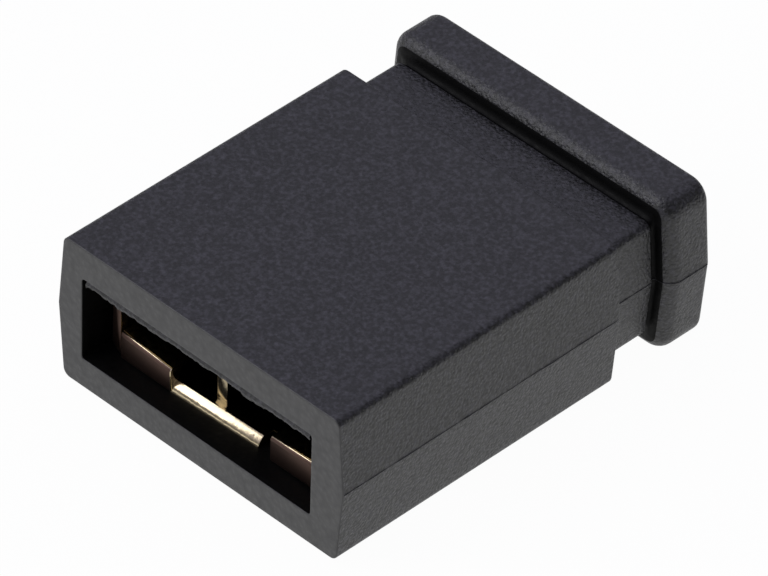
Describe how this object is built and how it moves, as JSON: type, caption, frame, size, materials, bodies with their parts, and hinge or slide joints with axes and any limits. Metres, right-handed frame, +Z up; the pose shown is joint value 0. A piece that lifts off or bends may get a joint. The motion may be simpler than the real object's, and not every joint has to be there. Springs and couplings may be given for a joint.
{
  "type": "jumper shunt",
  "caption": "Closed-end moulded jumper shunt with a wide mouth, a necked finger grip and a folded spring contact strip for square header pins.",
  "frame": {"origin": "centre of the footprint, on the surface that the shunt lies on", "axes": "+X along the row of the two pins, +Y from the mouth to the finger grip, +Z up through the thin dimension"},
  "size_m": [0.005, 0.0064, 0.0024],
  "materials": {
    "housing_plastic": "fine spark-eroded moulding grain, black nylon or polyester",
    "contact_metal": "thin gold plating over stamped copper alloy strip"
  },
  "bodies": {
    "root": {"housing": "housing_plastic", "contact": "contact_metal"}
  },
  "joints": []
}
